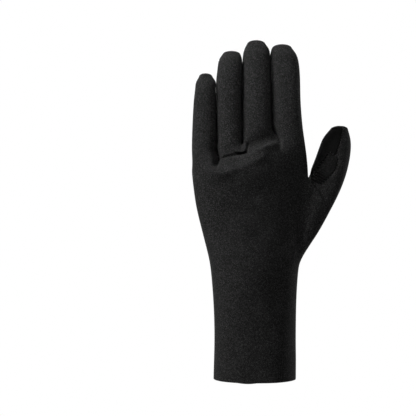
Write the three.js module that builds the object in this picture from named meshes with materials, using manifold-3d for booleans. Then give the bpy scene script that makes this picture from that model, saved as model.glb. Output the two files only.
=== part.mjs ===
// A left-hand neoprene glove for water sports, about 300 mm from hem to middle fingertip.
// It is sewn from flat panels of 2 mm foam faced with jersey: a back panel that also makes the
// backs of the little finger, the index finger and the thumb, a second back for the two middle
// fingers, one palm panel that runs up all five digits, a cuff panel under the wrist, a small
// web between each two fingers and a gusset on the inner side of the thumb. The panels meet
// edge to edge along the seams.
// Millimetres, +Z towards the fingertips, -Y out of the back of the hand, +X towards the thumb.
// The origin is the middle of the cuff's mouth, where the hand goes in.
import * as THREE from "three";
import { mergeVertices } from "three/addons/utils/BufferGeometryUtils.js";
import Module from "manifold-3d";

const wasm = await Module();
wasm.setup();

const WALL = 2.0; // foam and both jersey faces
const CROTCH_THICKNESS = 4.0;
const SEAM_GAP = 0.4; // clear space left between two panels
const SEAM_DETAIL = 0.004; // points closer than this to a straight edge are dropped
const ROUNDNESS = 2.3; // exponent of the hand's and cuff's superellipse sections, 2 is an ellipse
const FINGER_ROUNDNESS = 2.5;
const FINGER_CLEARANCE = 0.5; // between the flat sides of two fingers
const REACH = 70; // how far a seam's cutter stands out of the glove

// The hand from hem to knuckles. left is the little finger's side, right the index finger's own
// side inside the thumb; back and palm are the depths in front of and behind the middle plane.
const HAND_ROWS = [
  { z: 0, left: -36.2, right: 35.8, back: 27.0, palm: 27.0 },
  { z: 16, left: -35.8, right: 35.9, back: 26.8, palm: 26.6 },
  { z: 34, left: -35.4, right: 35.8, back: 26.3, palm: 26.2 },
  { z: 54, left: -35.7, right: 36.0, back: 25.8, palm: 25.6 },
  { z: 72, left: -36.6, right: 36.6, back: 25.3, palm: 24.8 },
  { z: 86, left: -37.7, right: 37.4, back: 24.8, palm: 24.8 },
  { z: 95, left: -38.6, right: 38.4, back: 24.3, palm: 27.4 },
  { z: 106, left: -40.4, right: 41.8, back: 23.4, palm: 28.8 },
  { z: 122, left: -44.4, right: 44.4, back: 22.2, palm: 28.2 },
  { z: 138, left: -48.4, right: 45.8, back: 20.8, palm: 25.8 },
  { z: 154, left: -51.9, right: 46.8, back: 19.2, palm: 22.4 },
  { z: 170, left: -54.2, right: 47.4, back: 17.4, palm: 19.0 },
  { z: 180, left: -55.0, right: 46.8, back: 16.0, palm: 16.4 },
];
const THUMB_HOLE = { firstRow: 7, lastRow: 11 }; // rows of the hand whose side opens into the thumb
const SIDE_POINTS = 3; // points between the back's last column and the palm's

// Columns across the hand, four to a finger, as shares of its half width.
const FINGER_EDGES = [-0.93, -0.54, -0.13, 0.46, 0.93];
const PALM_LAST_EDGE = 0.84; // the palm's last column stands further in, to leave room for the thumb
const COLUMNS_PER_FINGER = 4;
// The fingers' sections lean over one another, so that no light passes between two of them.
const FINGER_LEAN = { share: -0.11, fromZ: 190, toZ: 212, middleY: 1 };

// The line where the hand becomes fingers: one row for each fourth column.
const KNUCKLE_LINE = [
  { x: -52.6, backZ: 190, palmZ: 190, depth: 9 },
  { x: -32.0, backZ: 189, palmZ: 192, depth: 13 },
  { x: -11.7, backZ: 195.5, palmZ: 191, depth: 14.5 },
  { x: 20.4, backZ: 204, palmZ: 202, depth: 13.5 },
  { x: 42.8, backZ: 197, palmZ: 196, depth: 9 },
];
const KNUCKLE_BULGE = 2.2; // how far each finger's root stands out between its two crotches
// The two middle fingers share one sleeve for a few millimetres before they part.
const PAIR_TOP = [
  { x: -32.7, backZ: 197.5, palmZ: 199, depth: 10.5 },
  { x: -11.7, backZ: 203.5, palmZ: 198, depth: 10 },
  { x: 16.6, backZ: 212, palmZ: 210.5, depth: 10.5 },
];

const FINGERS = {
  little: {
    tip: { x: -43.0, y: 3.4, z: 267.2 },
    rows: [
      { z: 200, left: -55.2, right: -33.9, back: -11.4, palm: 11.6 },
      { z: 214, left: -54.9, right: -34.1, back: -10.2, palm: 11.2 },
      { z: 230, left: -54.2, right: -34.2, back: -9.2, palm: 11.0 },
      { z: 244, left: -53.3, right: -34.2, back: -8.4, palm: 10.9 },
      { z: 253, left: -52.2, right: -34.4, back: -7.6, palm: 10.7 },
      { z: 259, left: -51.4, right: -34.2, back: -6.0, palm: 10.0 },
      { z: 263.2, left: -49.1, right: -36.6, back: -2.6, palm: 7.8 },
    ],
  },
  ring: {
    tip: { x: -20.3, y: 3.6, z: 286.9 },
    rows: [
      { z: 210, left: -33.7, right: -11.7, back: -12.4, palm: 12.6 },
      { z: 224, left: -33.9, right: -11.8, back: -11.5, palm: 12.4 },
      { z: 241, left: -34.0, right: -11.8, back: -10.6, palm: 12.3 },
      { z: 258, left: -33.8, right: -11.5, back: -9.8, palm: 12.2 },
      { z: 270, left: -32.5, right: -11.2, back: -9.0, palm: 12.0 },
      { z: 278.5, left: -31.2, right: -11.2, back: -7.0, palm: 11.2 },
      { z: 283.2, left: -28.3, right: -12.4, back: -3.4, palm: 8.8 },
    ],
  },
  middle: {
    tip: { x: 1.5, y: 4.0, z: 296.4 },
    rows: [
      { z: 218, left: -11.6, right: 14.9, back: -12.6, palm: 13.2 },
      { z: 230, left: -11.7, right: 14.4, back: -12.0, palm: 13.1 },
      { z: 246, left: -11.6, right: 14.4, back: -11.2, palm: 13.1 },
      { z: 262, left: -11.2, right: 13.9, back: -10.4, palm: 13.0 },
      { z: 276, left: -10.6, right: 13.2, back: -9.4, palm: 12.8 },
      { z: 286.2, left: -9.4, right: 13.0, back: -7.2, palm: 11.8 },
      { z: 291.8, left: -6.9, right: 10.0, back: -3.4, palm: 9.2 },
    ],
  },
  index: {
    tip: { x: 24.2, y: 3.8, z: 292.8 },
    rows: [
      { z: 216, left: 15.1, right: 42.0, back: -12.2, palm: 12.6 },
      { z: 230, left: 14.5, right: 40.6, back: -11.6, palm: 12.5 },
      { z: 244, left: 14.6, right: 39.7, back: -10.9, palm: 12.4 },
      { z: 260, left: 14.0, right: 39.5, back: -10.2, palm: 12.3 },
      { z: 273, left: 13.4, right: 38.7, back: -9.4, palm: 12.1 },
      { z: 282.5, left: 13.7, right: 36.8, back: -7.4, palm: 11.2 },
      { z: 288.2, left: 15.1, right: 33.3, back: -3.6, palm: 8.8 },
    ],
  },
};

// The thumb leaves the hand through the hole in its side. Each row is one ring, from the point
// next to the index finger (inner) to the one on the outline (outer), with its depth centre.
const THUMB_ROWS = [
  { innerX: 48.8, innerZ: 177.1, outerX: 54.8, outerZ: 125.9, y: 4.0, halfDepth: 15.5 },
  { innerX: 50.2, innerZ: 183.7, outerX: 66.0, outerZ: 145.5, y: 6.5, halfDepth: 15.0 },
  { innerX: 52.8, innerZ: 189.9, outerX: 75.6, outerZ: 164.1, y: 9.8, halfDepth: 14.2 },
  { innerX: 55.7, innerZ: 197.1, outerX: 82.2, outerZ: 181.9, y: 13.4, halfDepth: 13.2 },
  { innerX: 58.8, innerZ: 204.9, outerX: 85.6, outerZ: 197.3, y: 16.8, halfDepth: 12.2 },
  { innerX: 62.3, innerZ: 212.2, outerX: 86.2, outerZ: 209.2, y: 19.8, halfDepth: 10.8 },
  { innerX: 67.2, innerZ: 218.1, outerX: 84.4, outerZ: 217.9, y: 22.0, halfDepth: 8.2 },
];
const THUMB_TIP = { x: 77.1, y: 23.2, z: 222.6 };
// The plane through the thumb's middle, between its face towards the back and the one to the palm.
const THUMB_MIDDLE = { y: 9, z: 170, rise: 0.29 };
const FINGER_MIDDLE = { y: 2.5, z: 170, rise: 0 };

// The hem hangs lower under the wrist, in one rounded tongue.
const HEM_TONGUE = { drop: 9, middle: -4.5, halfWidth: 31, fullness: 1.9 };
const HEM_BACK_DIP = 0.4;

// Seams, as seen along Y. Between two fingers they run along the fingers' sides.
const SEAM_INSET = 3.3; // on the outer sides of the little and the index finger
const TIP_SEAM = { drop: 5.2, height: 8, squareness: 0.95 };
// Half of the small bowl that the seam makes under each crotch, on the palm side.
const CROTCH_BOWL = [
  { out: 0, up: 11 },
  { out: 3.4, up: 10 },
  { out: 5.2, up: 4 },
  { out: 4.6, up: -1 },
  { out: 2.6, up: -3.8 },
  { out: 0, up: -4.8 },
];
const ULNAR_SEAM = [
  { x: -34.0, z: 94.0 },
  { x: -37.4, z: 106 },
  { x: -41.2, z: 122 },
  { x: -45.0, z: 138 },
  { x: -48.4, z: 154 },
  { x: -50.8, z: 170 },
  { x: -51.8, z: 186 },
];
const WRIST_SEAM = [
  { x: 29.0, z: 91 },
  { x: 23.0, z: 88 },
  { x: 14.0, z: 84.5 },
  { x: 2.0, z: 82 },
  { x: -10.0, z: 82.5 },
  { x: -22.0, z: 86.5 },
  { x: -30.0, z: 91 },
];
const THUMB_PALM_SEAM = [
  { x: 29.0, z: 91 },
  { x: 34.0, z: 99 },
  { x: 39.5, z: 111 },
  { x: 45.5, z: 124 },
  { x: 53.5, z: 140 },
  { x: 61.6, z: 155 },
  { x: 68.7, z: 170 },
  { x: 73.4, z: 184 },
  { x: 76.4, z: 198 },
  { x: 78.0, z: 211 },
  { x: 77.6, z: 226 },
];
// The same seam where it comes over the thumb's tip to the face seen from the back.
const THUMB_BACK_SEAM = [
  { x: 77.6, z: 226 },
  { x: 77.4, z: 212.6 },
  { x: 74.3, z: 203.6 },
  { x: 71.9, z: 196.4 },
];
const WEB = { x: 48.4, z: 175 }; // where the palm's edge passes from the index finger to the thumb
// Clear of the thumb on its inner side, where the palm panel goes round it.
const THUMB_CLEAR = [
  { x: 70, z: 230 },
  { x: 58, z: 220 },
  { x: 51, z: 205 },
  { x: 46, z: 190 },
];
const CUFF_SEAMS = {
  radial: [
    { x: 29.0, z: 91 },
    { x: 26.0, z: 80 },
    { x: 23.2, z: 64 },
    { x: 22.4, z: 46 },
    { x: 23.4, z: 24 },
    { x: 25.4, z: -14 },
  ],
  ulnar: [
    { x: -34.0, z: 94 },
    { x: -31.6, z: 80 },
    { x: -30.0, z: 60 },
    { x: -29.8, z: 40 },
    { x: -30.6, z: 16 },
    { x: -31.6, z: -14 },
  ],
};
const KNUCKLE_SEAM = [
  { x: -32.0, z: 189 },
  { x: -29.0, z: 191.6 },
  { x: -21.9, z: 193.4 },
  { x: -11.7, z: 195.3 },
  { x: 0.0, z: 199 },
  { x: 8.0, z: 202.4 },
  { x: 13.4, z: 206 },
  { x: 20.4, z: 204 },
];
const GUSSET_INNER_EDGE = [
  { x: 70.1, z: 195.4 },
  { x: 65.4, z: 198.6 },
  { x: 61.2, z: 191.7 },
  { x: 56.0, z: 185.9 },
  { x: 52.9, z: 182.1 },
];
const GUSSET_OUTER_EDGE = [
  { x: 49.6, z: 174.0 },
  { x: 51.0, z: 171.2 },
  { x: 56.9, z: 169.6 },
  { x: 63.0, z: 173.6 },
  { x: 68.4, z: 179.4 },
  { x: 72.3, z: 186.2 },
  { x: 73.4, z: 193.4 },
];

const lerp = (a, b, t) => a + (b - a) * t;
const reversed = (list) => [...list].reverse();
const smooth = (t) => t * t * (3 - 2 * t);
const signedPower = (value, power) => Math.sign(value) * Math.abs(value) ** power;

// The glove's skin as a net of quads over shared points.
const points = [];
const quads = [];
const addPoint = (x, y, z) => points.push(new THREE.Vector3(x, y, z)) - 1;

function joinRings(lower, upper) {
  lower.forEach((corner, i) => {
    const next = (i + 1) % lower.length;
    quads.push([corner, lower[next], upper[next], upper[i]]);
  });
}

// Shares of the hand's half width for its columns, from the little finger to the index finger.
const columnShares = FINGER_EDGES.slice(0, -1).flatMap((edge, finger) =>
  Array.from({ length: COLUMNS_PER_FINGER }, (_, i) =>
    lerp(edge, FINGER_EDGES[finger + 1], i / COLUMNS_PER_FINGER),
  ),
);
columnShares.push(FINGER_EDGES.at(-1));
const indexFirst = 3 * COLUMNS_PER_FINGER;
const palmShares = columnShares.map((share, i) => {
  const overIndex = Math.max(0, i - indexFirst) / COLUMNS_PER_FINGER;
  return share + overIndex * (PALM_LAST_EDGE - FINGER_EDGES.at(-1));
});

const sectionDepth = (share) => (1 - Math.abs(share) ** ROUNDNESS) ** (1 / ROUNDNESS);

// A side of the hand between its last back column and its last palm column.
function sidePoints(sign, row, backShare, palmShare) {
  const middle = (row.left + row.right) / 2;
  const half = (row.right - row.left) / 2;
  const angle = (share) => Math.acos(share ** (ROUNDNESS / 2));
  return Array.from({ length: SIDE_POINTS }, (_, i) => {
    const turn = lerp(-angle(backShare), angle(palmShare), (i + 1) / (SIDE_POINTS + 1));
    const depth = turn < 0 ? row.back : row.palm;
    const x = middle + sign * half * Math.cos(turn) ** (2 / ROUNDNESS);
    return addPoint(x, depth * signedPower(Math.sin(turn), 2 / ROUNDNESS), row.z);
  });
}

function tongueDrop(x) {
  const share = Math.min(1, Math.abs((x - HEM_TONGUE.middle) / HEM_TONGUE.halfWidth));
  return HEM_TONGUE.drop * (1 - share ** HEM_TONGUE.fullness);
}

// One row of the hand: back columns left to right, right side, palm columns, left side.
function handRing(row, isHem) {
  const middle = (row.left + row.right) / 2;
  const half = (row.right - row.left) / 2;
  const back = columnShares.map((share) => {
    const dip = isHem ? HEM_BACK_DIP * (1 - share * share) : 0;
    return addPoint(middle + half * share, -row.back * sectionDepth(share), row.z - dip);
  });
  const palm = palmShares.map((share) => {
    const x = middle + half * share;
    return addPoint(x, row.palm * sectionDepth(share), row.z - (isHem ? tongueDrop(x) : 0));
  });
  const edge = FINGER_EDGES.at(-1);
  const right = sidePoints(1, row, edge, PALM_LAST_EDGE);
  const left = sidePoints(-1, row, edge, edge);
  return { back, right, palm, left };
}

const handRows = HAND_ROWS.map((row, i) => handRing(row, i === 0));
const aroundHand = (ring) => [
  ...ring.back,
  ...ring.right,
  ...reversed(ring.palm),
  ...reversed(ring.left),
];

// Points along a knuckle line, four columns to each of its rows, on the back and on the palm.
function knuckleColumns(line) {
  const back = [];
  const palm = [];
  line.slice(0, -1).forEach((from, i) => {
    const to = line[i + 1];
    const last = i === line.length - 2;
    for (let step = 0; step < COLUMNS_PER_FINGER + (last ? 1 : 0); step += 1) {
      const t = step / COLUMNS_PER_FINGER;
      const x = lerp(from.x, to.x, t);
      const depth = lerp(from.depth, to.depth, t) + KNUCKLE_BULGE * Math.sin(Math.PI * t);
      back.push(addPoint(x, -depth, lerp(from.backZ, to.backZ, t)));
      palm.push(addPoint(x, depth, lerp(from.palmZ, to.palmZ, t)));
    }
  });
  return { back, palm };
}

// The ridge of skin between two fingers, from its back end to its palm end.
function crotchChain(backPoint, palmPoint) {
  const from = points[backPoint];
  const to = points[palmPoint];
  return Array.from({ length: SIDE_POINTS }, (_, i) => {
    const place = new THREE.Vector3().lerpVectors(from, to, (i + 1) / (SIDE_POINTS + 1));
    return addPoint(place.x, place.y, place.z);
  });
}

const knuckles = knuckleColumns(KNUCKLE_LINE);
// The outer side of the little or the index finger where it leaves the hand.
const outerSide = (sign, { x, backZ, depth }) =>
  [-0.55, 0, 0.55].map((share) =>
    addPoint(x + sign * KNUCKLE_BULGE * (1 - share * share), share * depth, backZ),
  );
const littleSide = outerSide(-1, KNUCKLE_LINE[0]);
const indexSide = outerSide(1, KNUCKLE_LINE.at(-1));
const topRow = { back: knuckles.back, right: indexSide, palm: knuckles.palm, left: littleSide };

// The hand's wall between its rows, open where the thumb leaves.
const allRows = [...handRows, topRow];
const thumbSideFirst = columnShares.length - 1;
allRows.slice(0, -1).forEach((row, i) => {
  const lower = aroundHand(row);
  const upper = aroundHand(allRows[i + 1]);
  const besideThumb = i >= THUMB_HOLE.firstRow && i < THUMB_HOLE.lastRow;
  lower.forEach((corner, k) => {
    const inHole = k >= thumbSideFirst && k <= thumbSideFirst + SIDE_POINTS;
    if (besideThumb && inHole) return;
    const next = (k + 1) % lower.length;
    quads.push([corner, lower[next], upper[next], upper[k]]);
  });
});

// A ring of sixteen points round a superellipse, from its back left corner.
function ringOfSixteen(middle, across, deep, roundness, firstTurn) {
  return Array.from({ length: 4 * COLUMNS_PER_FINGER }, (_, i) => {
    const turn = firstTurn + (i * Math.PI) / 8;
    const place = middle
      .clone()
      .addScaledVector(across, signedPower(Math.cos(turn), 2 / roundness))
      .addScaledVector(deep, signedPower(Math.sin(turn), 2 / roundness));
    return addPoint(place.x, place.y, place.z);
  });
}

// Closes a ring of sixteen points with a dome of four by four quads under its tip.
function closeTip(ring, tip) {
  const size = COLUMNS_PER_FINGER;
  const centre = new THREE.Vector3();
  ring.forEach((p) => centre.addScaledVector(points[p], 1 / ring.length));
  const rim = (i, j) => {
    if (j === 0) return ring[i];
    if (i === size) return ring[size + j];
    if (j === size) return ring[3 * size - i];
    return ring[(4 * size - j) % ring.length];
  };
  const grid = [];
  for (let j = 0; j <= size; j += 1) {
    grid.push([]);
    for (let i = 0; i <= size; i += 1) {
      if (i === 0 || j === 0 || i === size || j === size) {
        grid[j].push(rim(i, j));
        continue;
      }
      // The rim point straight out from here gives the direction; the dome gives the height.
      const s = (i / size) * 2 - 1;
      const t = (j / size) * 2 - 1;
      const reach = Math.max(Math.abs(s), Math.abs(t));
      const out = reach === 0 ? centre : edgePoint(rim, s / reach, t / reach, size);
      const place = new THREE.Vector3().lerpVectors(centre, out, reach);
      const rise = Math.sqrt(1 - reach * reach);
      place.addScaledVector(new THREE.Vector3().subVectors(tip, centre), rise);
      grid[j].push(addPoint(place.x, place.y, place.z));
    }
  }
  for (let j = 0; j < size; j += 1)
    for (let i = 0; i < size; i += 1)
      quads.push([grid[j][i], grid[j][i + 1], grid[j + 1][i + 1], grid[j + 1][i]]);
}

function edgePoint(rim, s, t, size) {
  const i = ((s + 1) / 2) * size;
  const j = ((t + 1) / 2) * size;
  const low = points[rim(Math.floor(i), Math.floor(j))];
  const high = points[rim(Math.ceil(i), Math.ceil(j))];
  return new THREE.Vector3().lerpVectors(low, high, Math.max(i % 1, j % 1));
}

function raiseFinger(name, root, clearLeft, clearRight) {
  const { rows, tip } = FINGERS[name];
  let below = root;
  rows.forEach((row) => {
    const left = row.left + (clearLeft ? FINGER_CLEARANCE / 2 : 0);
    const right = row.right - (clearRight ? FINGER_CLEARANCE / 2 : 0);
    const middle = new THREE.Vector3((left + right) / 2, (row.back + row.palm) / 2, row.z);
    const across = new THREE.Vector3((right - left) / 2, 0, 0);
    const deep = new THREE.Vector3(0, (row.palm - row.back) / 2, 0);
    const ring = ringOfSixteen(middle, across, deep, FINGER_ROUNDNESS, -0.75 * Math.PI);
    joinRings(below, ring);
    below = ring;
  });
  closeTip(below, new THREE.Vector3(tip.x, tip.y, tip.z));
}

const last = COLUMNS_PER_FINGER * 4;
const { back: kb, palm: kp } = knuckles;
const chainLittle = crotchChain(kb[4], kp[4]);
const chainIndex = crotchChain(kb[12], kp[12]);

raiseFinger(
  "little",
  [...kb.slice(0, 5), ...chainLittle, ...reversed(kp.slice(0, 5)), ...reversed(littleSide)],
  false,
  true,
);
raiseFinger(
  "index",
  [...kb.slice(12), ...indexSide, ...reversed(kp.slice(12, last + 1)), ...reversed(chainIndex)],
  true,
  false,
);

// The short sleeve that the two middle fingers share.
const pairTop = knuckleColumns(PAIR_TOP);
const pairSide = (place) =>
  [-0.6, 0, 0.6].map((share) =>
    addPoint(place.x, share * place.depth, lerp(place.backZ, place.palmZ, (share + 1) / 2)),
  );
const pairLeft = pairSide(PAIR_TOP[0]);
const pairRight = pairSide(PAIR_TOP[2]);
joinRings(
  [...kb.slice(4, 13), ...chainIndex, ...reversed(kp.slice(4, 13)), ...reversed(chainLittle)],
  [...pairTop.back, ...pairRight, ...reversed(pairTop.palm), ...reversed(pairLeft)],
);
const chainMiddle = crotchChain(pairTop.back[4], pairTop.palm[4]);
raiseFinger(
  "ring",
  [
    ...pairTop.back.slice(0, 5),
    ...chainMiddle,
    ...reversed(pairTop.palm.slice(0, 5)),
    ...reversed(pairLeft),
  ],
  true,
  true,
);
raiseFinger(
  "middle",
  [
    ...pairTop.back.slice(4),
    ...pairRight,
    ...reversed(pairTop.palm.slice(4)),
    ...reversed(chainMiddle),
  ],
  true,
  true,
);

function leanFingers(place) {
  const { share, fromZ, toZ, middleY } = FINGER_LEAN;
  const reached = Math.min(1, Math.max(0, (place.z - fromZ) / (toZ - fromZ)));
  place.x += share * smooth(reached) * (place.y - middleY);
}
points.forEach(leanFingers);

// The thumb: its root is the rim of the hole, started at the back's lower corner.
const holeRows = handRows.slice(THUMB_HOLE.firstRow, THUMB_HOLE.lastRow + 1);
const lowest = holeRows[0];
const highest = holeRows.at(-1);
const inside = holeRows.slice(1, -1);
const thumbRoot = [
  lowest.back.at(-1),
  ...lowest.right,
  lowest.palm.at(-1),
  ...inside.map((row) => row.palm.at(-1)),
  highest.palm.at(-1),
  ...reversed(highest.right),
  highest.back.at(-1),
  ...reversed(inside.map((row) => row.back.at(-1))),
];
let belowThumb = thumbRoot;
THUMB_ROWS.forEach((row) => {
  const outer = new THREE.Vector3(row.outerX, row.y, row.outerZ);
  const inner = new THREE.Vector3(row.innerX, row.y, row.innerZ);
  const middle = new THREE.Vector3().lerpVectors(inner, outer, 0.5);
  const deep = new THREE.Vector3(0, row.halfDepth, 0);
  const ring = ringOfSixteen(middle, outer.sub(middle), deep, ROUNDNESS, -0.25 * Math.PI);
  joinRings(belowThumb, ring);
  belowThumb = ring;
});
closeTip(belowThumb, new THREE.Vector3(THUMB_TIP.x, THUMB_TIP.y, THUMB_TIP.z));

const crotches = [
  [kb[4], ...chainLittle, kp[4]],
  [pairTop.back[4], ...chainMiddle, pairTop.palm[4]],
  [kb[12], ...chainIndex, kp[12]],
];

// The wall: the skin, the same skin one wall thickness inside it, and the rim of the hem.
function wallSolid() {
  const normals = points.map(() => new THREE.Vector3());
  const triangles = quads.flatMap(([a, b, c, d]) => [
    [a, b, c],
    [a, c, d],
  ]);
  triangles.forEach(([a, b, c]) => {
    const normal = new THREE.Vector3()
      .subVectors(points[b], points[a])
      .cross(new THREE.Vector3().subVectors(points[c], points[a]));
    [a, b, c].forEach((corner) => normals[corner].add(normal));
  });
  const hem = aroundHand(handRows[0]);
  hem.forEach((corner) => normals[corner].setZ(0));
  const inner = points.map((p, i) => p.clone().addScaledVector(normals[i].normalize(), -WALL));
  // Between two fingers the two walls meet in one, so it is thicker there.
  crotches.forEach((chain) =>
    chain.forEach((corner, i) => {
      const isBackEnd = i === 0;
      const isPalmEnd = i === chain.length - 1;
      const inwards = (isBackEnd ? WALL : 0) - (isPalmEnd ? WALL : 0);
      inner[corner].copy(points[corner]).add(new THREE.Vector3(0, inwards, -CROTCH_THICKNESS));
    }),
  );
  const count = points.length;
  const faces = [
    ...triangles,
    ...triangles.map(([a, b, c]) => [a + count, c + count, b + count]),
    ...hem.flatMap((corner, i) => {
      const next = hem[(i + 1) % hem.length];
      return [
        [corner, corner + count, next],
        [next, corner + count, next + count],
      ];
    }),
  ];
  return new wasm.Manifold(
    new wasm.Mesh({
      numProp: 3,
      vertProperties: new Float32Array([...points, ...inner].flatMap((p) => [p.x, p.y, p.z])),
      triVerts: new Uint32Array(faces.flat()),
    }),
  );
}

function solidFrom(geometry) {
  const bare = geometry.clone();
  bare.deleteAttribute("normal");
  bare.deleteAttribute("uv");
  const merged = mergeVertices(bare);
  return new wasm.Manifold(
    new wasm.Mesh({
      numProp: 3,
      vertProperties: new Float32Array(merged.attributes.position.array),
      triVerts: new Uint32Array(merged.index.array),
    }),
  );
}

// The outline moved outwards by a distance.
function widened(outline, distance) {
  const corners = outline.map(({ x, z }) => new THREE.Vector2(x, z));
  if (THREE.ShapeUtils.isClockWise(corners)) corners.reverse();
  return corners.map((corner, i) => {
    const into = corner.clone().sub(corners.at(i - 1)).normalize();
    const away = corners[(i + 1) % corners.length].clone().sub(corner).normalize();
    const normal = new THREE.Vector2(into.y + away.y, -into.x - away.x).normalize();
    const sharpness = Math.max(0.5, normal.x * into.y - normal.y * into.x);
    return corner.clone().addScaledVector(normal, distance / sharpness);
  });
}

// A cutter that stands on an outline, from a middle plane out to the back (-1) or the palm (1).
function cutter(outline, side, middle, grow) {
  const shape = new THREE.Shape(widened(outline, grow));
  const prism = new THREE.ExtrudeGeometry(shape, { depth: 1, bevelEnabled: false, steps: 1 });
  const spots = prism.attributes.position;
  for (let i = 0; i < spots.count; i += 1) {
    const height = spots.getY(i);
    const nearY = middle.y + middle.rise * (height - middle.z) - side * grow;
    const farY = side * REACH;
    // The shape's own depth runs towards the back of the hand.
    const towardsBack = spots.getZ(i) > 0.5;
    const place = new THREE.Vector3(
      spots.getX(i),
      towardsBack === side < 0 ? farY : nearY,
      height,
    );
    if (place.x < WEB.x) leanFingers(place);
    spots.setXYZ(i, place.x, place.y, place.z);
  }
  return solidFrom(prism);
}

// The palm panel's top edge over one finger, from its left side to its right side.
function fingertipSeam({ rows, tip }, isFirst, isLast) {
  const left = (row) => row.left + (isFirst ? SEAM_INSET : 0);
  const right = (row) => row.right - (isLast ? SEAM_INSET : 0);
  const shoulder = rows.at(-3);
  const arch = [-1, -0.85, -0.5, 0, 0.5, 0.85, 1].map((share) => ({
    x: lerp(left(shoulder), right(shoulder), (share + 1) / 2),
    z:
      tip.z -
      TIP_SEAM.drop -
      TIP_SEAM.height * (1 - Math.sqrt(1 - TIP_SEAM.squareness * share * share)),
  }));
  const lower = rows.slice(0, -3);
  return [
    ...(isFirst ? lower.map((row) => ({ x: left(row), z: row.z })) : []),
    ...arch,
    ...(isLast ? reversed(lower).map((row) => ({ x: right(row), z: row.z })) : []),
  ];
}

const INDEX_FOOT = { x: 43.0, z: 186 };
const palmTopSeam = ["little", "ring", "middle", "index"].flatMap((name, i) =>
  fingertipSeam(FINGERS[name], i === 0, i === 3),
);
const bowlOutlines = [KNUCKLE_LINE[1], PAIR_TOP[1], KNUCKLE_LINE[3]].map(({ x, palmZ }) => [
  ...CROTCH_BOWL.map(({ out, up }) => ({ x: x - out, z: palmZ + up })),
  ...reversed(CROTCH_BOWL.slice(1, -1)).map(({ out, up }) => ({ x: x + out, z: palmZ + up })),
]);

const thumbFoot = THUMB_PALM_SEAM.findIndex(({ x }) => x > WEB.x);
const palmOutline = [
  ...ULNAR_SEAM,
  ...palmTopSeam,
  INDEX_FOOT,
  WEB,
  { x: WEB.x, z: 131 },
  ...reversed(THUMB_PALM_SEAM.slice(1, thumbFoot)),
  ...WRIST_SEAM,
];
const thumbPalmOutline = [
  { x: 44, z: 176 },
  ...reversed(THUMB_CLEAR),
  ...reversed(THUMB_PALM_SEAM.slice(thumbFoot - 1)),
];
const thumbBackOutline = [
  { x: 49.6, z: 174 },
  ...reversed(THUMB_CLEAR),
  ...THUMB_BACK_SEAM,
  ...GUSSET_INNER_EDGE,
];
const gussetOutline = [...GUSSET_INNER_EDGE, ...GUSSET_OUTER_EDGE];
const cuffOutline = [
  ...reversed(WRIST_SEAM),
  ...CUFF_SEAMS.radial.slice(1),
  ...reversed(CUFF_SEAMS.ulnar.slice(1)),
];
const gapLine = (name, side) =>
  FINGERS[name].rows.slice(0, -1).map((row) => ({ x: row[side], z: row.z }));
// Up the gap beside the ring finger, over both fingertips and down the gap beside the middle one.
const aroundPair = [
  { x: -32.95, z: 197.5 },
  ...gapLine("ring", "left"),
  { x: -33, z: 300 },
  { x: 14, z: 300 },
  ...reversed(gapLine("middle", "right")),
  { x: 16.8, z: 212 },
];
const pairBackOutline = [...aroundPair, ...reversed(KNUCKLE_SEAM)];
const pairPalmOutline = [
  { x: KNUCKLE_SEAM[0].x, z: 170 },
  KNUCKLE_SEAM[0],
  ...aroundPair,
  KNUCKLE_SEAM.at(-1),
  { x: KNUCKLE_SEAM.at(-1).x, z: 170 },
];

// Each piece's cutters, for the piece itself (a negative grow) or for what is left without it.
const moved = (middle, y) => ({ ...middle, y: middle.y + y });
const webCutters = (outline) => (grow) => [cutter(outline, 1, moved(FINGER_MIDDLE, -2), grow)];
const palmCutters = (grow) => [
  cutter(palmOutline, 1, FINGER_MIDDLE, grow),
  cutter(thumbPalmOutline, 1, THUMB_MIDDLE, grow),
  cutter(thumbBackOutline, -1, moved(THUMB_MIDDLE, 1), grow),
];
const pairCutters = (grow) => [
  cutter(pairBackOutline, -1, moved(FINGER_MIDDLE, -0.5), grow),
  cutter(pairPalmOutline, 1, moved(FINGER_MIDDLE, -1.5), grow),
];
const gussetCutters = (grow) => [cutter(gussetOutline, -1, THUMB_MIDDLE, grow)];
const cuffCutters = (grow) => [cutter(cuffOutline, 1, FINGER_MIDDLE, grow)];

const heatherJersey = { color: "#2a2a2c", roughness: 0.95, metalness: 0 };
const smoothJersey = { color: "#19191b", roughness: 0.85, metalness: 0 };

const group = new THREE.Group();

// A cut leaves crumbs of a few cubic millimetres where two seams meet; a piece is its one body.
function addPiece(name, cloth, cut) {
  const bodies = cut.decompose();
  const body = bodies.reduce((best, next) => (next.volume() > best.volume() ? next : best));
  const mesh = body.simplify(SEAM_DETAIL).getMesh();
  const geometry = new THREE.BufferGeometry()
    .setAttribute("position", new THREE.BufferAttribute(mesh.vertProperties, 3))
    .setIndex(new THREE.BufferAttribute(mesh.triVerts, 1));
  const piece = new THREE.Mesh(geometry, new THREE.MeshStandardMaterial(cloth));
  piece.name = name;
  group.add(piece);
}

let rest = wallSolid();
const half = SEAM_GAP / 2;
[
  { name: "thumb_gusset", cloth: smoothJersey, cutters: gussetCutters },
  { name: "little_ring_web", cloth: smoothJersey, cutters: webCutters(bowlOutlines[0]) },
  { name: "ring_middle_web", cloth: smoothJersey, cutters: webCutters(bowlOutlines[1]) },
  { name: "middle_index_web", cloth: smoothJersey, cutters: webCutters(bowlOutlines[2]) },
  { name: "palm_panel", cloth: smoothJersey, cutters: palmCutters },
  { name: "cuff_panel", cloth: smoothJersey, cutters: cuffCutters },
  { name: "two_finger_back", cloth: heatherJersey, cutters: pairCutters },
].forEach(({ name, cloth, cutters }) => {
  addPiece(name, cloth, rest.intersect(wasm.Manifold.union(cutters(-half))));
  rest = rest.subtract(wasm.Manifold.union(cutters(half)));
});
addPiece("back_panel", heatherJersey, rest);

export default group;
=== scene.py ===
import math
from collections import namedtuple

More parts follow.
